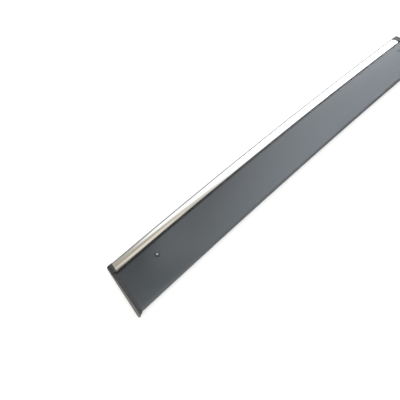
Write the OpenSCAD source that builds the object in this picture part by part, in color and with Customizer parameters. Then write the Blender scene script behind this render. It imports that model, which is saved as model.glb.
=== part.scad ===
// Window deflector for a car's side door: a smoked moulded blade with a bright trim strip let into
// its top flange, a black cap over each end, and foam tape under the flange that holds it to the door.
// It lies with its outer face up. +X runs along the blade to its narrow end, +Y points to the top edge,
// +Z points away from the door, and z = 0 is the door's face. The origin is the middle of the tape.
// Sections are drawn in q and z: q runs down the blade in plan, from 0 at the top edge.

/* [Blade] */
// Length of the top edge, corner to corner, with both end caps
length = 750; // [500:10:1000]
// Width in plan at the near end, from the top edge to the lower rim
near_width = 91.5; // [80:0.5:120]
// Width in plan at the far end
far_width = 84.5; // [70:0.5:110]
// Extra width at mid-length
belly = 1.8; // [0:0.1:6]
// Rise of the top edge at mid-length over a straight line between its corners
bow = 5.5; // [0:0.5:20]
// Wall of the moulding
wall = 2.4; // [1.8:0.1:3.2]
// Angle by which the near end leans outward, going down the blade
near_slant = 14; // [0:1:30]
// Angle by which the far end leans outward, going down the blade
far_slant = 4; // [0:1:25]
// Mean angle between the blade and the door's face
tilt = 8.5; // [5:0.5:14]
// Half of the angle through which the blade curves between the step and the rim
crown = 4; // [1:0.5:5]

/* [Top flange] */
// Width of the lip above the trim strip
lip_width = 1.9; // [1.4:0.1:3]
// Height of the lip over the trim strip's bed
lip_height = 1; // [0.6:0.1:1.4]
// Open groove between the trim strip and the step
groove = 0.9; // [0.4:0.1:2]
// Height of the step from the trim strip's bed to the blade
step_height = 3.4; // [2.2:0.1:6]
// Steepest angle of the step
step_angle = 55; // [40:1:68]
// Inner radius of the step's two bends
bend_radius = 0.8; // [0.4:0.1:1.6]

/* [Lower rim] */
// Inner radius of the bend into the rim
rim_bend = 0.6; // [0.3:0.1:1.5]
// Angle through which the rim turns down
rim_turn = 80; // [60:1:86]
// Straight part of the rim below its bend
rim_drop = 0.8; // [0.2:0.1:4]

/* [Fixing holes] */
// Bore of the two holes for the fixing clips
hole_d = 3.5; // [2.5:0.1:5]
// Diameter of the shallow seat round each hole on the outer face
seat_d = 6.2; // [5.6:0.1:8]
// Depth of that seat below the highest point of its edge
seat_depth = 1.4; // [1.3:0.1:1.8]
// Diameter of the boss under each hole
boss_d = 9; // [8.2:0.1:12]
// Depth of the boss below the blade's inner face at the hole
boss_drop = 1.4; // [1.2:0.1:3]
// Distance of the near hole from the near corner, along the length
near_hole_in = 62; // [30:1:120]
// Distance of the near hole below the top edge
near_hole_down = 39; // [30:1:60]
// Distance of the far hole from the far corner, along the length
far_hole_in = 45; // [30:1:120]
// Distance of the far hole below the top edge
far_hole_down = 34; // [30:1:60]

/* [Trim strip] */
// Width of the trim strip
trim_width = 12.5; // [9:0.5:16]
// Height of the trim strip's edges over its bed
trim_height = 1.3; // [1:0.1:2]
// Rise of the trim strip's middle over its edges
trim_crown = 0.7; // [0.2:0.1:1.5]
// Thickness of the trim strip's metal
trim_metal = 0.5; // [0.3:0.1:0.7]
// Bevel along the trim strip's two long edges
trim_bevel = 0.5; // [0.2:0.1:0.8]
// Clearance on each side of the trim strip, and over its bonding tape
trim_gap = 0.1; // [0.05:0.05:0.3]

/* [End caps] */
// Thickness of the caps' outer walls, which close the gap between blade and door
cap_wall = 2.2; // [1.6:0.1:3]
// Width of the raised rail over the blade, past the outer wall
rail_width = 1.4; // [0.8:0.1:4]
// Height of the rail over the blade
rail_height = 1.5; // [1:0.1:2.5]
// Width of the low sill beside the rail
sill_width = 1.6; // [1:0.1:3]
// Height of the sill over the blade
sill_height = 0.7; // [0.4:0.1:0.9]
// Thickness of the lip that grips the blade from below
grip = 1.2; // [0.8:0.1:2]
// Length of the near cap's block over the flange, with its outer wall
near_block = 8.7; // [7:0.1:16]
// Length of the far cap's block over the flange, with its outer wall
far_block = 14; // [7:0.1:20]
// Height of the blocks over the lip
block_height = 1.4; // [0.9:0.1:2.5]
// Thickness of the cap past the lower rim
toe = 1.1; // [0.8:0.1:2.5]
// Distance from the lower rim to the end of the foot on the door
foot_in = 8; // [4:0.5:20]
// Width of the slot sunk in each block
slot_width = 2; // [1:0.1:2.6]
// Depth of that slot
slot_depth = 0.8; // [0.3:0.1:1]
// Rounding of the caps' edges
edge = 0.5; // [0.2:0.1:0.6]
// Clearance between a cap and the blade
fit = 0.1; // [0.05:0.05:0.2]

/* [Mounting tape] */
// Width of the foam tape under the flange
tape_width = 12; // [8:0.5:13]
// Distance of the tape from the top edge
tape_in = 1.5; // [0.5:0.1:2.5]
// Thickness of the foam tape
tape_thick = 1.1; // [0.8:0.1:2]
// Thickness of the release liner
liner_thick = 0.2; // [0.1:0.05:0.3]
// Distance of the tape's ends from the caps' outer walls
tape_end = 1.5; // [0.5:0.5:6]

/* [Hidden] */
$fn = 48;

// Stations along the length, and steps round each bend
STATIONS = 30;
BLADE_STEPS = 12;
RIM_STEPS = 7;
BEND_STEPS = 4;
CROWN_STEPS = 8;
// How far a cutter runs past what it cuts
PAST = 1;

tape_mid = tape_in + tape_width / 2;
flange_z = liner_thick + tape_thick;
bed_z = flange_z + wall;
lip_z = bed_z + lip_height;
block_z = lip_z + block_height;
trim_start = lip_width + trim_gap;
trim_end = trim_start + trim_width;
step_start = trim_end + trim_gap + groove;
rim_radius = rim_bend + wall;
blade_start_slope = tilt + crown;
blade_end_slope = tilt - crown;
sill_end = cap_wall + rail_width + sill_width;

function lerp(a, b, t) = a + (b - a) * t;
function last(list) = list[len(list) - 1];
function reversed(list) = [for (i = [len(list) - 1:-1:0]) list[i]];

// Plan of the blade: u runs from 0 at the near end to 1 at the far end, along lines of equal q
function near_x(q) = -length / 2 - q * tan(near_slant);
function far_x(q) = length / 2 + q * tan(far_slant);
function y_at(x, q) = tape_mid - q - bow * pow(2 * x / length, 2);
function width_at(u) = lerp(near_width, far_width, u) + 4 * belly * u * (1 - u);
function place(u, p) =
    let (x = lerp(near_x(p[0]), far_x(p[0]), u))
    [x, y_at(x, p[0]), p[1]];

// u of a place that lies a distance inward from the near end (0) or the far end (1)
function inward(end, distance) = end == 0 ? distance / length : 1 - distance / length;

// Stations of a piece that runs between two values of u
function stations(from, to) = [for (i = [0:STATIONS]) lerp(from, to, i / STATIONS)];

// Points of a bend from slope a0 to a1, each [q, z, slope]; it starts after p and leaves p out
function bend(p, radius, a0, a1, steps) =
    let (s = sign(a1 - a0))
    [for (i = [1:steps]) let (a = lerp(a0, a1, i / steps))
        [p[0] + s * radius * (sin(a) - sin(a0)), p[1] - s * radius * (cos(a) - cos(a0)), a]];

// A straight run of the path from p at its own slope
function run(p, distance) = [p[0] + distance * cos(p[2]), p[1] + distance * sin(p[2]), p[2]];

// The point beside a path point: outward of the outer face if distance is positive
function beside(p, distance, slope) =
    [p[0] - distance * sin(slope), p[1] + distance * cos(slope)];

// Outer face of the step, from the trim strip's bed up to where the blade starts
step_foot = [step_start, bed_z, 0];
step_low = concat([step_foot], bend(step_foot, bend_radius, 0, step_angle, BEND_STEPS));
step_bends_rise = bend_radius * (1 - cos(step_angle))
    + (bend_radius + wall) * (cos(blade_start_slope) - cos(step_angle));
step_ramp = (step_height - step_bends_rise) / sin(step_angle);
step_ramp_end = run(last(step_low), step_ramp);
step_path = concat(
    step_low,
    [step_ramp_end],
    bend(step_ramp_end, bend_radius + wall, step_angle, blade_start_slope, BEND_STEPS)
);
blade_foot = last(step_path);

// Outer face of the blade at a given width, without its first point
function rim_start(width) =
    width - rim_radius * (sin(blade_end_slope) + sin(rim_turn)) - rim_drop * cos(rim_turn);
function blade_radius(width) =
    (rim_start(width) - blade_foot[0]) / (sin(blade_start_slope) - sin(blade_end_slope));
function blade_path(width) =
    bend(blade_foot, blade_radius(width), blade_start_slope, blade_end_slope, BLADE_STEPS);
function rim_path(width) =
    let (turned = bend(last(blade_path(width)), rim_radius, blade_end_slope, -rim_turn, RIM_STEPS))
    concat(turned, [run(last(turned), rim_drop)]);

// Height of the outer face over a point of the blade
function blade_z(q, width) =
    let (
        r = blade_radius(width),
        a = asin(sin(blade_start_slope) - (q - blade_foot[0]) / r)
    )
    blade_foot[1] + r * (cos(a) - cos(blade_start_slope));

// Sections are two chains of equal length, [outer, inner], which the loft joins like a ladder
function shield_section(width) =
    let (
        path = concat(step_path, blade_path(width), rim_path(width)),
        tip = last(path),
        middle = beside(tip, -wall / 2, tip[2]),
        chamfer = lip_height / 3,
        lip_q = [0, chamfer, lip_width - chamfer / 2, lip_width],
        lip_top = [lip_z - chamfer, lip_z, lip_z, bed_z],
        round = [30, 60, 80]
    )
    [
        concat(
            [for (i = [0:3]) [lip_q[i], lip_top[i]]],
            [for (p = path) [p[0], p[1]]],
            [for (a = round) beside(run([middle[0], middle[1], tip[2]], wall / 2 * sin(a)),
                wall / 2 * cos(a), tip[2])]
        ),
        concat(
            [for (q = lip_q) [q, flange_z]],
            [for (p = path) beside(p, -wall, p[2])],
            [for (a = round) beside(run([middle[0], middle[1], tip[2]], wall / 2 * sin(a)),
                -wall / 2 * cos(a), tip[2])]
        )
    ];

// Solid through the sections that stand at rising values of u
module loft(at, sections) {
    pairs = len(sections[0][0]);
    ring = 2 * pairs;
    stops = len(at);
    points = [for (k = [0:stops - 1], p = concat(sections[k][0], reversed(sections[k][1])))
        place(at[k], p)];
    sides = [for (k = [0:stops - 2], i = [0:ring - 1])
        let (j = (i + 1) % ring, here = k * ring, next = here + ring)
        each [[here + i, next + i, next + j], [here + i, next + j, here + j]]];
    near_face = [for (i = [0:pairs - 2])
        each [[i, i + 1, ring - 2 - i], [i, ring - 2 - i, ring - 1 - i]]];
    far_face = [for (f = near_face) [for (i = reversed(f)) (stops - 1) * ring + i]];
    polyhedron(points, concat(near_face, sides, far_face), convexity = 8);
}

// Loft of a cap's part: each stop is [distance inward, section], listed from the outside inward
module cap_loft(end, stops) {
    order = end == 0 ? stops : reversed(stops);
    loft([for (s = order) inward(end, s[0])], [for (s = order) s[1]]);
}

// Upright strip of one thickness that follows the top edge, between two values of q
module flat_strip(q0, q1, inset, bottom, thick) {
    at = stations(inward(0, inset), inward(1, inset));
    outline = concat(
        [for (u = at) let (p = place(u, [q0, 0])) [p[0], p[1]]],
        reversed([for (u = at) let (p = place(u, [q1, 0])) [p[0], p[1]]])
    );
    translate([0, 0, bottom]) linear_extrude(thick) polygon(outline);
}

// Where a hole stands: [x, y, height of the outer face there, slope of the blade there]
function hole_place(end) =
    let (
        x = end == 0 ? near_hole_in - length / 2 : length / 2 - far_hole_in,
        q = end == 0 ? near_hole_down : far_hole_down,
        u = (x - near_x(q)) / (far_x(q) - near_x(q)),
        rise = blade_z(q + 0.5, width_at(u)) - blade_z(q - 0.5, width_at(u))
    )
    [x, y_at(x, q), blade_z(q, width_at(u)), atan(rise)];

module hole_boss(end) {
    p = hole_place(end);
    bottom = p[2] - wall - boss_drop;
    translate([p[0], p[1], bottom]) cylinder(d = boss_d, h = boss_drop + wall / 2);
}

module hole_cut(end) {
    p = hole_place(end);
    seat_edge = p[2] + seat_d / 2 * tan(p[3]);
    translate([p[0], p[1], p[2] - wall - boss_drop - PAST])
        cylinder(d = hole_d, h = wall + boss_drop + 2 * PAST);
    translate([p[0], p[1], seat_edge - seat_depth]) cylinder(d = seat_d, h = seat_depth + PAST);
}

// Blade, flange and rim, moulded in one
module shield() {
    at = stations(inward(0, cap_wall), inward(1, cap_wall));
    color([0.2, 0.22, 0.24, 0.8])
    difference() {
        union() {
            loft(at, [for (u = at) shield_section(width_at(u))]);
            for (end = [0, 1]) hole_boss(end);
        }
        for (end = [0, 1]) hole_cut(end);
    }
}

// Crowned face of the trim strip between its bevels, and its inner face one metal lower
function trim_rise(t) = trim_crown * 4 * t * (1 - t);
function trim_face(drop) = [for (i = [0:CROWN_STEPS]) let (t = i / CROWN_STEPS)
    [lerp(trim_start + trim_bevel, trim_end - trim_bevel, t), bed_z + trim_height + trim_rise(t) - drop]];

function trim_section() =
    let (edge_z = bed_z + trim_height - trim_bevel)
    [
        concat(
            [[trim_start, bed_z], [trim_start, edge_z]],
            trim_face(0),
            [[trim_end, edge_z], [trim_end, bed_z]]
        ),
        concat(
            [[trim_start + trim_metal, bed_z], [trim_start + trim_metal, edge_z - trim_metal / 2]],
            [for (p = trim_face(trim_metal))
                [min(max(p[0], trim_start + 1.5 * trim_metal), trim_end - 1.5 * trim_metal), p[1]]],
            [[trim_end - trim_metal, edge_z - trim_metal / 2], [trim_end - trim_metal, bed_z]]
        )
    ];

// Bright roll-formed strip that lies in the flange's bed
module trim_strip() {
    at = stations(inward(0, near_block + fit), inward(1, far_block + fit));
    color("gainsboro") loft(at, [for (u = at) trim_section()]);
}

// Bonding tape between the trim strip and its bed
module trim_tape() {
    at = stations(inward(0, near_block + fit), inward(1, far_block + fit));
    under = trim_face(trim_metal + trim_gap);
    held = [for (i = [1:CROWN_STEPS - 1]) under[i]];
    color("dimgray") loft(at, [for (u = at) [held, [for (p = held) [p[0], bed_z]]]]);
}

// Section of a cap's leg: along the blade's outer face at a height, and down to the foot
function leg_section(width, height) =
    let (
        blade = concat([blade_foot], blade_path(width)),
        rim = rim_path(width),
        top = concat(
            [[0, bed_z + height]],
            [for (p = step_path) beside(p, height, blade_start_slope)],
            [for (i = [1:BLADE_STEPS]) beside(blade[i], height, blade[i][2])],
            [for (p = rim) beside(p, min(height, toe), p[2])]
        ),
        foot_q = width - foot_in,
        end_q = last(top)[0],
        end_z = toe_z(width),
        flat = len(top) - len(rim),
        blade_end = top[flat - 1][0]
    )
    [
        top,
        concat(
            [for (i = [0:flat - 1]) [foot_q * top[i][0] / blade_end, 0]],
            [for (i = [1:len(rim)]) let (a = 90 * i / len(rim))
                [lerp(foot_q, end_q, sin(a)), end_z * (1 - cos(a))]]
        )
    ];

// Underside of a cap's toe, below the rim
function toe_z(width) = last(rim_path(width))[1] - wall / 2 - grip;

// Room for the blade and flange in a cap
function pocket_section(width) =
    let (
        rim = rim_path(width),
        tip = run(last(rim), wall / 2 + fit),
        outer = concat(step_path, blade_path(width)),
        whole = concat(blade_path(width), rim, [tip])
    )
    [
        concat(
            [[-PAST, lip_z + fit], [lip_width + fit / 2, lip_z + fit], [lip_width + fit, bed_z + fit]],
            [for (p = step_path) beside(p, fit, blade_start_slope)],
            [for (p = whole) beside(p, fit, p[2])]
        ),
        concat(
            [[-PAST, -PAST], [lip_width + fit / 2, -PAST], [lip_width + fit, -PAST]],
            [for (p = step_path) [p[0] + (wall + fit) * sin(p[2]),
                p[2] == 0 ? -PAST : p[1] - (wall + fit) * cos(p[2])]],
            [for (p = whole) beside(p, -wall - fit, p[2])]
        )
    ];

// Space left open below a cap's grip, from the flange to past the toe
function below_section(width) =
    let (
        lower = -wall - fit - grip,
        blade = blade_path(width),
        kept = [for (i = [0:BLADE_STEPS - 2]) beside(blade[i], lower, blade[i][2])],
        start = beside(blade_foot, lower, blade_start_slope),
        heel = rim_start(width) - grip,
        toe_top = toe_z(width) + grip / 4
    )
    [
        concat([[-PAST, flange_z], [start[0] - grip, flange_z], start], kept,
            [[heel, last(kept)[1]], [heel + fit, toe_top], [width + toe + PAST, toe_top]]),
        concat([[-PAST, -PAST], [start[0] - grip, -PAST], [start[0], -PAST]],
            [for (p = kept) [p[0], -PAST]],
            [[heel, -PAST], [heel + fit, -PAST], [width + toe + PAST, -PAST]])
    ];

// Block over the flange's end
function block_section(top) =
    let (
        q = [edge / 2, edge, step_start - edge, step_start],
        z = [top - edge, top, top, top - edge]
    )
    [[for (i = [0:3]) [q[i], z[i]]], [for (i = [0:3]) [q[i], flange_z / 2]]];

// Black moulded cap over one end: 0 is the near end and 1 the far end
module end_cap(end, block) {
    rail_end = cap_wall + rail_width;
    pocket = cap_wall - fit;
    deep = block + 2 * PAST;
    slot_out = cap_wall / 2 + edge;
    slot_in = slot_out + slot_width;
    function leg(distance, height) = [distance, leg_section(width_at(inward(end, distance)), height)];
    function cut(distance) = [distance, pocket_section(width_at(inward(end, distance)))];
    function open(distance) = [distance, below_section(width_at(inward(end, distance)))];
    slot_q = [lip_width, step_start - lip_width];
    slot = [[for (q = slot_q) [q, block_z + PAST]], [for (q = slot_q) [q, block_z - slot_depth]]];
    color([0.12, 0.12, 0.13])
    difference() {
        union() {
            cap_loft(end, [
                leg(0, rail_height - edge),
                leg(edge, rail_height),
                leg(rail_end - edge / 2, rail_height),
                leg(rail_end, sill_height),
                leg(sill_end, sill_height - fit)
            ]);
            cap_loft(end, [
                [edge / 2, block_section(block_z - edge)],
                [edge, block_section(block_z)],
                [block - edge / 2, block_section(block_z)],
                [block, block_section(block_z - edge / 2)]
            ]);
        }
        cap_loft(end, [cut(pocket), cut(deep)]);
        cap_loft(end, [open(pocket), open(deep)]);
        cap_loft(end, [[slot_out, slot], [slot_in, slot]]);
    }
}

module near_end_cap() {
    end_cap(0, near_block);
}

module far_end_cap() {
    end_cap(1, far_block);
}

// Foam tape under the flange
module mounting_tape() {
    color("darkslategray")
    flat_strip(tape_in, tape_in + tape_width, cap_wall + tape_end, liner_thick, tape_thick);
}

// Release liner on the tape's lower face
module tape_liner() {
    color("crimson")
    flat_strip(tape_in, tape_in + tape_width, cap_wall + tape_end, 0, liner_thick);
}

shield();
trim_strip();
trim_tape();
near_end_cap();
far_end_cap();
mounting_tape();
tape_liner();
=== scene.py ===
import math

import bmesh
import bpy
from mathutils import Matrix, Vector


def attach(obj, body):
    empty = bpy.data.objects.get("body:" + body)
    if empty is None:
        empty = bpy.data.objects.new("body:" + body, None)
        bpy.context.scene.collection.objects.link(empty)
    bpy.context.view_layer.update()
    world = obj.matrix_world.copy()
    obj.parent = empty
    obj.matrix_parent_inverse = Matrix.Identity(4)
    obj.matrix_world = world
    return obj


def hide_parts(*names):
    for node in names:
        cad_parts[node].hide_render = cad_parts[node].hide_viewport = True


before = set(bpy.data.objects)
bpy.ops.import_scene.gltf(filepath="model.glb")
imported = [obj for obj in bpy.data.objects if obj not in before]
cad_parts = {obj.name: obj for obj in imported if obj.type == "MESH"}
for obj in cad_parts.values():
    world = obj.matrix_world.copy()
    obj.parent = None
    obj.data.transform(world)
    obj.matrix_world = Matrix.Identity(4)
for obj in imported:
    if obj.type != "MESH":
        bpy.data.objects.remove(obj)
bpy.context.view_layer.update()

# The shapes below are worked out in millimetres, and become metres where a mesh is made
MM = 0.001

# Blade in plan
LENGTH = 750.0
NEAR_WIDTH = 91.5
FAR_WIDTH = 84.5
BELLY = 1.8
BOW = 5.5
NEAR_SLANT = 14.0
FAR_SLANT = 4.0
TAPE_MIDDLE = 7.5

# Blade in section
WALL = 2.4
TILT = 8.5
CROWN = 4.0
FLANGE_Z = 1.3
LIP_WIDTH = 1.9
LIP_HEIGHT = 1.0
STEP_HEIGHT = 3.4
STEP_ANGLE = 55.0
BEND_RADIUS = 0.8
RIM_BEND = 0.6
RIM_TURN = 80.0
RIM_DROP = 0.8

# Trim strip in section
TRIM_GAP = 0.1
TRIM_WIDTH = 12.5
TRIM_HEIGHT = 1.3
TRIM_CROWN = 0.7
TRIM_METAL = 0.5
TRIM_BEVEL = 0.5
GROOVE = 0.9

# Clip holes
HOLE_RADIUS = 1.75
SEAT_RADIUS = 3.1
SEAT_DEPTH = 1.4
BOSS_RADIUS = 4.5
BOSS_DROP = 1.4
NEAR_HOLE = (62.0, 39.0)
FAR_HOLE = (45.0, 34.0)

# End caps
CAP_WALL = 2.2
RAIL_WIDTH = 1.4
RAIL_HEIGHT = 1.5
SILL_WIDTH = 1.6
SILL_HEIGHT = 0.7
GRIP = 1.2
NEAR_BLOCK = 8.7
FAR_BLOCK = 14.0
BLOCK_HEIGHT = 1.4
TOE = 1.1
FOOT_IN = 8.0
SLOT_WIDTH = 2.0
SLOT_DEPTH = 0.8
EDGE = 0.5
FIT = 0.1

# How finely the shapes are made
STATIONS = 110
BLADE_STEPS = 26
BEND_STEPS = 9
RIM_STEPS = 14
CROWN_STEPS = 16
ROUND_STEPS = 5
HOLE_SIDES = 64
SHARP_ANGLE = math.radians(32)
PAST = 1.0

BED_Z = FLANGE_Z + WALL
LIP_Z = BED_Z + LIP_HEIGHT
BLOCK_Z = LIP_Z + BLOCK_HEIGHT
TRIM_START = LIP_WIDTH + TRIM_GAP
TRIM_END = TRIM_START + TRIM_WIDTH
STEP_START = TRIM_END + TRIM_GAP + GROOVE
RIM_RADIUS = RIM_BEND + WALL
BLADE_START_SLOPE = TILT + CROWN
BLADE_END_SLOPE = TILT - CROWN
SILL_END = CAP_WALL + RAIL_WIDTH + SILL_WIDTH


def lerp(a, b, t):
    return a + (b - a) * t


def sin(degrees):
    return math.sin(math.radians(degrees))


def cos(degrees):
    return math.cos(math.radians(degrees))


def tan(degrees):
    return math.tan(math.radians(degrees))


# Plan: u runs from 0 at the near end to 1 at the far end, and q down the blade from its top edge


def near_x(q):
    return -LENGTH / 2 - q * tan(NEAR_SLANT)


def far_x(q):
    return LENGTH / 2 + q * tan(FAR_SLANT)


def y_at(x, q):
    return TAPE_MIDDLE - q - BOW * (2 * x / LENGTH) ** 2


def width_at(u):
    return lerp(NEAR_WIDTH, FAR_WIDTH, u) + 4 * BELLY * u * (1 - u)


def place(u, q, z):
    x = lerp(near_x(q), far_x(q), u)
    return Vector((x, y_at(x, q), z)) * MM


def inward(end, distance):
    """u of a place that lies a distance inward from the near end, 0, or the far end, 1."""
    return distance / LENGTH if end == 0 else 1 - distance / LENGTH


def stations(start, stop):
    return [lerp(start, stop, i / STATIONS) for i in range(STATIONS + 1)]


# Section: a path point is (q, z, slope)


def bend(point, radius, start, stop, steps):
    """Points of a bend after point, from one slope to another."""
    side = math.copysign(1, stop - start)
    made = []
    for i in range(1, steps + 1):
        slope = lerp(start, stop, i / steps)
        q = point[0] + side * radius * (sin(slope) - sin(start))
        z = point[1] - side * radius * (cos(slope) - cos(start))
        made.append((q, z, slope))
    return made


def run(point, distance):
    q, z, slope = point
    return (q + distance * cos(slope), z + distance * sin(slope), slope)


def beside(point, distance, slope=None):
    """The point at a distance outward of the outer face."""
    slope = point[2] if slope is None else slope
    return (point[0] - distance * sin(slope), point[1] + distance * cos(slope))


def make_step_path():
    foot = (STEP_START, BED_Z, 0)
    low = [foot] + bend(foot, BEND_RADIUS, 0, STEP_ANGLE, BEND_STEPS)
    outer_radius = BEND_RADIUS + WALL
    bends_rise = BEND_RADIUS * (1 - cos(STEP_ANGLE))
    bends_rise += outer_radius * (cos(BLADE_START_SLOPE) - cos(STEP_ANGLE))
    ramp_end = run(low[-1], (STEP_HEIGHT - bends_rise) / sin(STEP_ANGLE))
    return low + [ramp_end] + bend(ramp_end, outer_radius, STEP_ANGLE, BLADE_START_SLOPE, BEND_STEPS)


STEP_PATH = make_step_path()
BLADE_FOOT = STEP_PATH[-1]


def rim_start(width):
    return width - RIM_RADIUS * (sin(BLADE_END_SLOPE) + sin(RIM_TURN)) - RIM_DROP * cos(RIM_TURN)


def blade_radius(width):
    return (rim_start(width) - BLADE_FOOT[0]) / (sin(BLADE_START_SLOPE) - sin(BLADE_END_SLOPE))


def blade_path(width):
    return bend(BLADE_FOOT, blade_radius(width), BLADE_START_SLOPE, BLADE_END_SLOPE, BLADE_STEPS)


def rim_path(width):
    turned = bend(blade_path(width)[-1], RIM_RADIUS, BLADE_END_SLOPE, -RIM_TURN, RIM_STEPS)
    return turned + [run(turned[-1], RIM_DROP)]


def blade_z(q, width):
    """Height of the outer face over a point of the blade."""
    radius = blade_radius(width)
    slope = math.degrees(math.asin(sin(BLADE_START_SLOPE) - (q - BLADE_FOOT[0]) / radius))
    return BLADE_FOOT[1] + radius * (cos(slope) - cos(BLADE_START_SLOPE))


def quarter(steps=ROUND_STEPS):
    """Angles from 0 to 90 degrees."""
    return [90 * i / steps for i in range(steps + 1)]


# A section is two chains of equal length, the outer and the inner one


def shield_section(width):
    radius = LIP_HEIGHT / 3
    arc = quarter()
    lip = [(radius * (1 - cos(a)), LIP_Z - radius + radius * sin(a)) for a in arc]
    lip += [(LIP_WIDTH - radius / 2 + radius / 2 * sin(a), LIP_Z - radius / 2 * (1 - cos(a))) for a in arc]
    lip.append((LIP_WIDTH, BED_Z))
    under = [(q, FLANGE_Z) for q, _ in lip]
    path = STEP_PATH + blade_path(width) + rim_path(width)
    tip = path[-1]
    middle = (*beside(tip, -WALL / 2), tip[2])
    nose = [a for a in quarter(8) if 0 < a < 90]
    nose_out = [beside(run(middle, WALL / 2 * sin(a)), WALL / 2 * cos(a), tip[2]) for a in nose]
    nose_in = [beside(run(middle, WALL / 2 * sin(a)), -WALL / 2 * cos(a), tip[2]) for a in nose]
    outer = lip + [(p[0], p[1]) for p in path] + nose_out
    inner = under + [beside(p, -WALL) for p in path] + nose_in
    return outer, inner


def trim_rise(t):
    return TRIM_CROWN * 4 * t * (1 - t)


def trim_face(drop):
    """Crowned face of the trim strip between its bevels, or a face that lies below it."""
    face = []
    for i in range(CROWN_STEPS + 1):
        t = i / CROWN_STEPS
        q = lerp(TRIM_START + TRIM_BEVEL, TRIM_END - TRIM_BEVEL, t)
        face.append((q, BED_Z + TRIM_HEIGHT + trim_rise(t) - drop))
    return face


def trim_section():
    edge_z = BED_Z + TRIM_HEIGHT - TRIM_BEVEL
    turn = [(TRIM_BEVEL * (1 - cos(a)), TRIM_BEVEL * sin(a)) for a in quarter()][:-1]
    rise = [(TRIM_START + q, edge_z + z) for q, z in turn]
    fall = [(TRIM_END - q, edge_z + z) for q, z in reversed(turn)]
    outer = [(TRIM_START, BED_Z)] + rise + trim_face(0) + fall + [(TRIM_END, BED_Z)]
    low, high = TRIM_START + TRIM_METAL, TRIM_END - TRIM_METAL
    under = edge_z - TRIM_METAL / 2
    inner = [(low, BED_Z)] + [(low, lerp(under, edge_z, i / len(turn))) for i in range(len(turn))]
    inner += [(min(max(q, low + TRIM_METAL / 2), high - TRIM_METAL / 2), z) for q, z in trim_face(TRIM_METAL)]
    inner += [(high, lerp(edge_z, under, i / len(turn))) for i in range(len(turn))] + [(high, BED_Z)]
    return outer, inner


def toe_z(width):
    """Underside of a cap's toe, below the rim."""
    return rim_path(width)[-1][1] - WALL / 2 - GRIP


def leg_section(width, height):
    """A cap's leg: along the blade's outer face at a height, and down to the foot."""
    blade = blade_path(width)
    rim = rim_path(width)
    top = [(0, BED_Z + height)]
    top += [beside(p, height, BLADE_START_SLOPE) for p in STEP_PATH]
    top += [beside(p, height) for p in blade]
    flat = len(top)
    top += [beside(p, min(height, TOE)) for p in rim]
    foot_q = width - FOOT_IN
    bottom = [(foot_q * q / top[flat - 1][0], 0) for q, _ in top[:flat]]
    for i in range(1, len(rim) + 1):
        a = 90 * i / len(rim)
        bottom.append((lerp(foot_q, top[-1][0], sin(a)), toe_z(width) * (1 - cos(a))))
    return top, bottom


def pocket_section(width):
    """Room for the blade and flange in a cap."""
    rim = rim_path(width)
    whole = blade_path(width) + rim + [run(rim[-1], WALL / 2 + FIT)]
    outer = [(-PAST, LIP_Z + FIT), (LIP_WIDTH + FIT / 2, LIP_Z + FIT), (LIP_WIDTH + FIT, BED_Z + FIT)]
    outer += [beside(p, FIT, BLADE_START_SLOPE) for p in STEP_PATH] + [beside(p, FIT) for p in whole]
    inner = [(-PAST, -PAST), (LIP_WIDTH + FIT / 2, -PAST), (LIP_WIDTH + FIT, -PAST)]
    for q, z, slope in STEP_PATH:
        depth = -PAST if slope == 0 else z - (WALL + FIT) * cos(slope)
        inner.append((q + (WALL + FIT) * sin(slope), depth))
    inner += [beside(p, -WALL - FIT) for p in whole]
    return outer, inner


def below_section(width):
    """Space left open below a cap's grip, from the flange to past the toe."""
    lower = -WALL - FIT - GRIP
    kept = [beside(p, lower) for p in blade_path(width)[:-1]]
    start = beside(BLADE_FOOT, lower)
    heel = rim_start(width) - GRIP
    kept = [p for p in kept if p[0] < heel - FIT]
    toe_top = toe_z(width) + GRIP / 4
    outer = [(-PAST, FLANGE_Z), (start[0] - GRIP, FLANGE_Z), start] + kept
    outer += [(heel, kept[-1][1]), (heel + FIT, toe_top), (width + TOE + PAST, toe_top)]
    return outer, [(q, -PAST) for q, _ in outer]


def block_section(top):
    """Block over the flange's end."""
    turn = [(EDGE * (1 - cos(a)), EDGE * sin(a)) for a in quarter()]
    outer = [(EDGE / 2 + q, top - EDGE + z) for q, z in turn]
    outer += [(STEP_START - q, top - EDGE + z) for q, z in reversed(turn)]
    return outer, [(q, FLANGE_Z / 2) for q, _ in outer]


# Meshes


def make_piece(name, mesh):
    piece = bpy.data.objects.new(name, mesh)
    bpy.context.scene.collection.objects.link(piece)
    return piece


def loft(name, at, sections):
    """A closed solid through sections that stand at rising values of u."""
    bm = bmesh.new()
    rings = []
    for u, (outer, inner) in zip(at, sections):
        rings.append([bm.verts.new(place(u, q, z)) for q, z in outer + inner[::-1]])
    pairs = len(sections[0][0])
    ring = 2 * pairs
    for here, after in zip(rings, rings[1:]):
        for i in range(ring):
            j = (i + 1) % ring
            bm.faces.new((here[i], after[i], after[j], here[j]))
    for i in range(pairs - 1):
        ladder = (i, i + 1, ring - 2 - i, ring - 1 - i)
        bm.faces.new([rings[0][k] for k in ladder])
        bm.faces.new([rings[-1][k] for k in reversed(ladder)])
    bmesh.ops.recalc_face_normals(bm, faces=bm.faces)
    mesh = bpy.data.meshes.new(name)
    bm.to_mesh(mesh)
    bm.free()
    return make_piece(name, mesh)


def cylinder(name, x, y, bottom, top, radius):
    bm = bmesh.new()
    upright = Matrix.Translation(Vector((x, y, (bottom + top) / 2)) * MM)
    bmesh.ops.create_cone(
        bm, cap_ends=True, segments=HOLE_SIDES, radius1=radius * MM, radius2=radius * MM,
        depth=(top - bottom) * MM, matrix=upright,
    )
    mesh = bpy.data.meshes.new(name)
    bm.to_mesh(mesh)
    bm.free()
    return make_piece(name, mesh)


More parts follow.
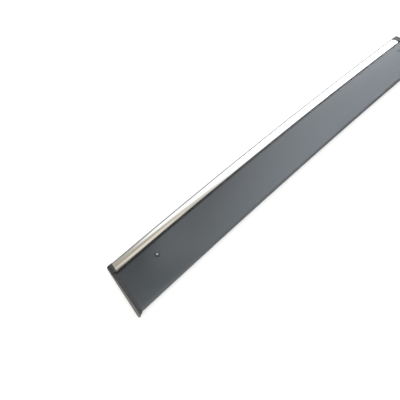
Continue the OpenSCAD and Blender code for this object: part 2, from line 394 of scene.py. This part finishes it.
def combine(piece, tool, operation):
    """Joins a tool to a piece or cuts it away, and removes the tool."""
    modifier = piece.modifiers.new(operation, "BOOLEAN")
    modifier.operation = operation
    modifier.solver = "EXACT"
    modifier.object = tool
    evaluated = piece.evaluated_get(bpy.context.evaluated_depsgraph_get())
    result = bpy.data.meshes.new_from_object(evaluated)
    piece.modifiers.clear()
    piece.data = result
    bpy.data.objects.remove(tool)


def finish_piece(piece, node, material):
    """Smooths a piece, dresses it and lets it stand for its CAD node."""
    mesh = piece.data
    mesh.shade_smooth()
    mesh.set_sharp_from_angle(angle=SHARP_ANGLE)
    mesh.materials.clear()
    mesh.materials.append(material)
    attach(piece, "root")
    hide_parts(node)


def hole_place(end):
    """Where a clip hole stands: x, y, height of the outer face there and slope of the blade there."""
    inset, q = NEAR_HOLE if end == 0 else FAR_HOLE
    x = inset - LENGTH / 2 if end == 0 else LENGTH / 2 - inset
    u = (x - near_x(q)) / (far_x(q) - near_x(q))
    rise = blade_z(q + 0.5, width_at(u)) - blade_z(q - 0.5, width_at(u))
    return x, y_at(x, q), blade_z(q, width_at(u)), rise


def add_hole(piece, end):
    x, y, z, rise = hole_place(end)
    bottom = z - WALL - BOSS_DROP
    combine(piece, cylinder("boss", x, y, bottom, bottom + BOSS_DROP + WALL / 2, BOSS_RADIUS), "UNION")
    combine(piece, cylinder("bore", x, y, bottom - PAST, z + PAST, HOLE_RADIUS), "DIFFERENCE")
    floor_z = z + SEAT_RADIUS * rise - SEAT_DEPTH
    combine(piece, cylinder("seat", x, y, floor_z, z + SEAT_DEPTH + PAST, SEAT_RADIUS), "DIFFERENCE")


def build_shield(material):
    at = stations(inward(0, CAP_WALL), inward(1, CAP_WALL))
    piece = loft("smoked_shield", at, [shield_section(width_at(u)) for u in at])
    for end in (0, 1):
        add_hole(piece, end)
    finish_piece(piece, "shield", material)


def build_trim(material):
    at = stations(inward(0, NEAR_BLOCK + FIT), inward(1, FAR_BLOCK + FIT))
    piece = loft("bright_strip", at, [trim_section() for _ in at])
    finish_piece(piece, "trim_strip", material)


def cap_loft(name, end, stops):
    """A cap's part: each stop is (distance inward, section), listed from the outside inward."""
    order = stops if end == 0 else stops[::-1]
    return loft(name, [inward(end, d) for d, _ in order], [section for _, section in order])


def rounded_stops(start, stop, height, low_side=None):
    """Distances and heights of a raised band with round edges, down to low_side past its inner edge."""
    arc = quarter()
    made = [(start + EDGE * (1 - cos(a)), height - EDGE + EDGE * sin(a)) for a in arc]
    made += [(stop - EDGE + EDGE * sin(a), height - EDGE + EDGE * cos(a)) for a in arc]
    if low_side is not None:
        made.append((stop + FIT / 2, low_side))
    return made


def build_cap(end, block, name, node, material):
    def at_width(section, distance, *more):
        return distance, section(width_at(inward(end, distance)), *more)

    rail_end = CAP_WALL + RAIL_WIDTH
    profile = rounded_stops(0, rail_end, RAIL_HEIGHT, SILL_HEIGHT)
    profile += [(SILL_END - EDGE / 2, SILL_HEIGHT), (SILL_END, SILL_HEIGHT - EDGE / 2)]
    piece = cap_loft(name, end, [at_width(leg_section, d, h) for d, h in profile])
    ledge = [(d, block_section(h)) for d, h in rounded_stops(EDGE / 2, block, BLOCK_Z)]
    combine(piece, cap_loft("block", end, ledge), "UNION")
    pocket, deep = CAP_WALL - FIT, block + 2 * PAST
    for section in (pocket_section, below_section):
        tool = cap_loft("pocket", end, [at_width(section, d) for d in (pocket, deep)])
        combine(piece, tool, "DIFFERENCE")
    slot_q = (LIP_WIDTH, STEP_START - LIP_WIDTH)
    slot = [(q, BLOCK_Z + PAST) for q in slot_q], [(q, BLOCK_Z - SLOT_DEPTH) for q in slot_q]
    slot_out = CAP_WALL / 2 + EDGE
    combine(piece, cap_loft("slot", end, [(slot_out, slot), (slot_out + SLOT_WIDTH, slot)]), "DIFFERENCE")
    finish_piece(piece, node, material)


# Materials


def new_material(name):
    material = bpy.data.materials.new(name)
    material.use_nodes = True
    tree = material.node_tree
    tree.nodes.clear()
    output = tree.nodes.new("ShaderNodeOutputMaterial")
    return material, tree, output


def add_node(tree, kind, **values):
    """A node with plain values on its sockets: a key such as Base_Color names the socket Base Color."""
    node = tree.nodes.new("ShaderNode" + kind)
    for key, value in values.items():
        node.inputs[key.replace("_", " ")].default_value = value
    return node


def noise(tree, scale, detail=4.0, stretch=(1, 1, 1)):
    """Noise in the part's own frame, with its scale in cells per metre."""
    place_in = add_node(tree, "TexCoord")
    mapping = add_node(tree, "Mapping", Scale=stretch)
    texture = add_node(tree, "TexNoise", Scale=scale, Detail=detail)
    tree.links.new(place_in.outputs["Object"], mapping.inputs["Vector"])
    tree.links.new(mapping.outputs["Vector"], texture.inputs["Vector"])
    return texture.outputs["Fac"]


def spread(tree, value, low, high):
    """A value from 0 to 1 mapped to a range."""
    ranged = add_node(tree, "MapRange", To_Min=low, To_Max=high)
    tree.links.new(value, ranged.inputs["Value"])
    return ranged.outputs["Result"]


def varied_colour(tree, value, dark, light):
    """A colour that runs from dark to light with a value from 0 to 1."""
    ramp = tree.nodes.new("ShaderNodeValToRGB")
    ramp.color_ramp.elements[0].color = (*dark, 1)
    ramp.color_ramp.elements[1].color = (*light, 1)
    tree.links.new(value, ramp.inputs["Fac"])
    return ramp.outputs["Color"]


def bump(tree, height, strength, distance):
    node = add_node(tree, "Bump", Strength=strength, Distance=distance)
    tree.links.new(height, node.inputs["Height"])
    return node.outputs["Normal"]


def schlick(tree, normal, base):
    """Share that a clear plastic mirrors, which rises towards grazing view."""
    facing = add_node(tree, "LayerWeight", Blend=0.5)
    tree.links.new(normal, facing.inputs["Normal"])
    power = tree.nodes.new("ShaderNodeMath")
    power.operation = "POWER"
    power.inputs[1].default_value = 5
    tree.links.new(facing.outputs["Facing"], power.inputs[0])
    return spread(tree, power.outputs[0], base, 1)


# The smoke's colour, its density per metre, and the share that the plastic mirrors when seen head on
SMOKE_COLOUR = (0.20, 0.25, 0.29, 1)
SMOKE_DENSITY = 880
HEAD_ON_MIRROR = 0.045


def smoked_plastic():
    """Clear plastic with smoke in its depth, so that thick places look darker."""
    material, tree, output = new_material("smoked acrylic")
    normal = bump(tree, noise(tree, 9, 2, (1, 2.5, 1)), 0.25, 0.0006)
    gloss = add_node(tree, "BsdfGlossy", Color=(1, 1, 1, 1))
    tree.links.new(spread(tree, noise(tree, 160), 0.03, 0.07), gloss.inputs["Roughness"])
    tree.links.new(normal, gloss.inputs["Normal"])
    clear = add_node(tree, "BsdfTransparent", Color=(1, 1, 1, 1))
    surface = tree.nodes.new("ShaderNodeMixShader")
    tree.links.new(schlick(tree, normal, HEAD_ON_MIRROR), surface.inputs["Fac"])
    tree.links.new(clear.outputs[0], surface.inputs[1])
    tree.links.new(gloss.outputs[0], surface.inputs[2])
    smoke = add_node(tree, "VolumeAbsorption", Color=SMOKE_COLOUR, Density=SMOKE_DENSITY)
    tree.links.new(surface.outputs[0], output.inputs["Surface"])
    tree.links.new(smoke.outputs[0], output.inputs["Volume"])
    return material


def bright_metal():
    """Polished steel with faint marks of rolling along its length."""
    material, tree, output = new_material("polished steel")
    shader = add_node(tree, "BsdfPrincipled", Base_Color=(0.84, 0.83, 0.81, 1), Metallic=1)
    streaks = noise(tree, 700, 3, (0.02, 1, 1))
    tree.links.new(spread(tree, streaks, 0.06, 0.14), shader.inputs["Roughness"])
    tree.links.new(bump(tree, noise(tree, 40, 2, (0.3, 1, 1)), 0.1, 0.0002), shader.inputs["Normal"])
    tree.links.new(shader.outputs[0], output.inputs["Surface"])
    return material


def black_plastic():
    """Satin moulded plastic with a fine grain."""
    material, tree, output = new_material("black plastic")
    shader = add_node(tree, "BsdfPrincipled", Specular_IOR_Level=0.5)
    colour = varied_colour(tree, noise(tree, 220), (0.020, 0.021, 0.023), (0.034, 0.034, 0.036))
    tree.links.new(colour, shader.inputs["Base Color"])
    tree.links.new(spread(tree, noise(tree, 900, 2), 0.34, 0.5), shader.inputs["Roughness"])
    tree.links.new(bump(tree, noise(tree, 2600, 2), 0.25, 0.0001), shader.inputs["Normal"])
    tree.links.new(shader.outputs[0], output.inputs["Surface"])
    return material


def foam():
    """Closed-cell foam of the tapes."""
    material, tree, output = new_material("tape foam")
    shader = add_node(tree, "BsdfPrincipled", Specular_IOR_Level=0.2)
    cells = noise(tree, 3200, 1)
    colour = varied_colour(tree, cells, (0.02, 0.021, 0.022), (0.055, 0.056, 0.06))
    tree.links.new(colour, shader.inputs["Base Color"])
    tree.links.new(spread(tree, cells, 0.8, 0.98), shader.inputs["Roughness"])
    tree.links.new(bump(tree, cells, 0.6, 0.0002), shader.inputs["Normal"])
    tree.links.new(shader.outputs[0], output.inputs["Surface"])
    return material


def red_film():
    """Thin glossy release film with slight creases."""
    material, tree, output = new_material("release film")
    shader = add_node(tree, "BsdfPrincipled", Specular_IOR_Level=0.5)
    creases = noise(tree, 90, 3, (1, 0.4, 1))
    colour = varied_colour(tree, creases, (0.48, 0.012, 0.012), (0.62, 0.025, 0.02))
    tree.links.new(colour, shader.inputs["Base Color"])
    tree.links.new(spread(tree, creases, 0.18, 0.34), shader.inputs["Roughness"])
    tree.links.new(bump(tree, creases, 0.3, 0.0003), shader.inputs["Normal"])
    tree.links.new(shader.outputs[0], output.inputs["Surface"])
    return material


def dress_node(node, material):
    """Gives a CAD node that stays a new finish."""
    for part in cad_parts[node].material_slots:
        part.material = material


# Studio: the floor's brightness for rays that see it, its side and its drop below the part, in metres
FLOOR_GLOW = 0.45
FLOOR_SIDE = 12.0
FLOOR_DROP = 0.0001

# What the room shows in each direction, which is (azimuth, elevation) in degrees: its colours, and the
# middle of each round patch with the angles at which it starts and stops to fade
ROOM_COLOUR = (0.46, 0.43, 0.37)
BACK_WALL = (225, 45), 30, 70, (1.25, 1.22, 1.18)
CEILING_PATCH = (28, 66), 2, 9, (0.92, 0.86, 0.75)
DARK_PATCH = (18, 74), 3, 6, (0.12, 0.11, 0.10)
WINDOW_GLOW = (24, 27), 0, 30, (2.2, 2.4, 2.7)
WINDOW_COLOUR = (1.4, 1.42, 1.42)
# Each edge of the window: two directions on it and the half width of its fade
WINDOW_EDGES = (
    ((62.5, 42.5), (25, 57), 4),
    ((30, 14), (66, 31), 3),
    ((65, 30), (61, 48), 2),
)
WHITE = (1, 1, 1)


def white_floor():
    """Diffuse white floor that also shows as white to the camera, in mirrors and through the shield."""
    material, tree, output = new_material("studio floor")
    diffuse = add_node(tree, "BsdfDiffuse", Color=(0.8, 0.8, 0.8, 1), Roughness=0.5)
    glow = add_node(tree, "Emission", Color=(1, 1, 1, 1))
    rays = add_node(tree, "LightPath")
    seen = rays.outputs["Is Camera Ray"]
    for name in ("Is Glossy Ray", "Is Transmission Ray"):
        either = tree.nodes.new("ShaderNodeMath")
        either.operation = "MAXIMUM"
        tree.links.new(seen, either.inputs[0])
        tree.links.new(rays.outputs[name], either.inputs[1])
        seen = either.outputs[0]
    tree.links.new(spread(tree, seen, 0, FLOOR_GLOW), glow.inputs["Strength"])
    both = tree.nodes.new("ShaderNodeAddShader")
    tree.links.new(diffuse.outputs[0], both.inputs[0])
    tree.links.new(glow.outputs[0], both.inputs[1])
    tree.links.new(both.outputs[0], output.inputs["Surface"])
    return material


def build_floor():
    bm = bmesh.new()
    bmesh.ops.create_grid(bm, size=FLOOR_SIDE / 2, matrix=Matrix.Translation((0, 0, -FLOOR_DROP)))
    mesh = bpy.data.meshes.new("floor")
    bm.to_mesh(mesh)
    bm.free()
    mesh.materials.append(white_floor())
    make_piece("floor", mesh)


def direction(azimuth, elevation):
    """Unit vector: azimuth is counted from +X towards +Y."""
    return Vector((cos(elevation) * cos(azimuth), cos(elevation) * sin(azimuth), sin(elevation)))


def add_panel(name, azimuth, elevation, distance, size, radiance, colour):
    """A soft rectangular lamp that faces the origin, with the brightness of its own face stated."""
    lamp = bpy.data.lights.new(name, "AREA")
    lamp.shape = "RECTANGLE"
    lamp.size, lamp.size_y = size
    lamp.energy = radiance * math.pi * size[0] * size[1]
    lamp.color = colour
    panel = bpy.data.objects.new(name, lamp)
    towards = direction(azimuth, elevation)
    turn = towards.to_track_quat("Z", "Y").to_matrix().to_4x4()
    panel.matrix_world = Matrix.Translation(towards * distance) @ turn
    panel.visible_camera = False
    bpy.context.scene.collection.objects.link(panel)


def add_mask(tree, dot, low, high):
    """0 below one value of a dot product and 1 above another, with a soft change between them."""
    mask = add_node(tree, "MapRange", From_Min=low, From_Max=high)
    mask.interpolation_type = "SMOOTHSTEP"
    tree.links.new(dot, mask.inputs["Value"])
    return mask.outputs["Result"]


def dot_with(tree, ray, vector):
    node = tree.nodes.new("ShaderNodeVectorMath")
    node.operation = "DOT_PRODUCT"
    node.inputs[1].default_value = vector
    tree.links.new(ray, node.inputs[0])
    return node.outputs["Value"]


def beyond(tree, ray, first, second, soft):
    """Mask of the room on one side of the line through two directions."""
    normal = direction(*first).cross(direction(*second)).normalized()
    return add_mask(tree, dot_with(tree, ray, normal), -sin(soft), sin(soft))


def around(tree, ray, centre, inner, outer):
    """Mask of a round patch of the room."""
    return add_mask(tree, dot_with(tree, ray, direction(*centre)), cos(outer), cos(inner))


def times(tree, first, second):
    node = tree.nodes.new("ShaderNodeMath")
    node.operation = "MULTIPLY"
    tree.links.new(first, node.inputs[0])
    tree.links.new(second, node.inputs[1])
    return node.outputs[0]


def paint(tree, colour, mask, paint_colour, blend="MIX"):
    """A colour, given as numbers or as a socket, with a second one laid over it where the mask is 1."""
    node = tree.nodes.new("ShaderNodeMixRGB")
    node.blend_type = blend
    node.inputs["Color2"].default_value = (*paint_colour, 1)
    tree.links.new(mask, node.inputs["Fac"])
    if isinstance(colour, tuple):
        node.inputs["Color1"].default_value = (*colour, 1)
    else:
        tree.links.new(colour, node.inputs["Color1"])
    return node.outputs["Color"]


def light_room():
    """A dim beige room with a broad window past the far end and a pale wall behind the camera."""
    world = bpy.data.worlds.new("room")
    world.use_nodes = True
    tree = world.node_tree
    ray = add_node(tree, "TexCoord").outputs["Generated"]
    colour = ROOM_COLOUR
    for *patch, patch_colour in (BACK_WALL, CEILING_PATCH, DARK_PATCH):
        colour = paint(tree, colour, around(tree, ray, *patch), patch_colour)
    upper, lower, side = (beyond(tree, ray, *edge) for edge in WINDOW_EDGES)
    colour = paint(tree, colour, times(tree, times(tree, upper, lower), side), WINDOW_COLOUR)
    *glow, glow_colour = WINDOW_GLOW
    colour = paint(tree, colour, around(tree, ray, *glow), glow_colour, "ADD")
    seen = add_node(tree, "LightPath").outputs["Is Camera Ray"]
    colour = paint(tree, colour, seen, WHITE)
    tree.links.new(colour, tree.nodes["Background"].inputs["Color"])
    bpy.context.scene.world = world
    add_panel("fill", 225, 55, 2.2, (1.6, 1.2), 0.5, (1.0, 0.97, 0.93))


# Camera, as fitted to the photograph: its place, its line of sight, its focal length and the frame in pixels,
# and its sensor in millimetres
CAMERA_PLACE = (-0.627, -0.4165, 0.7115)
CAMERA_SIGHT = (0.4663, 0.4425, -0.7660)
FOCAL_PIXELS = 605.0
FRAME_PIXELS = 400.0
SENSOR_WIDTH = 36.0


def set_camera():
    data = bpy.data.cameras.new("camera")
    data.sensor_width = SENSOR_WIDTH
    data.lens = data.sensor_width * FOCAL_PIXELS / FRAME_PIXELS
    data.clip_start = 0.01
    camera = bpy.data.objects.new("camera", data)
    camera.location = CAMERA_PLACE
    camera.rotation_euler = Vector(CAMERA_SIGHT).to_track_quat("-Z", "Y").to_euler()
    bpy.context.scene.collection.objects.link(camera)
    bpy.context.scene.camera = camera


bpy.context.scene.view_settings.view_transform = "Standard"
set_camera()
light_room()
build_floor()
build_shield(smoked_plastic())
build_trim(bright_metal())
cap_plastic = black_plastic()
build_cap(0, NEAR_BLOCK, "near_cap", "near_end_cap", cap_plastic)
build_cap(1, FAR_BLOCK, "far_cap", "far_end_cap", cap_plastic)
tape_foam = foam()
dress_node("trim_tape", tape_foam)
dress_node("mounting_tape", tape_foam)
dress_node("tape_liner", red_film())
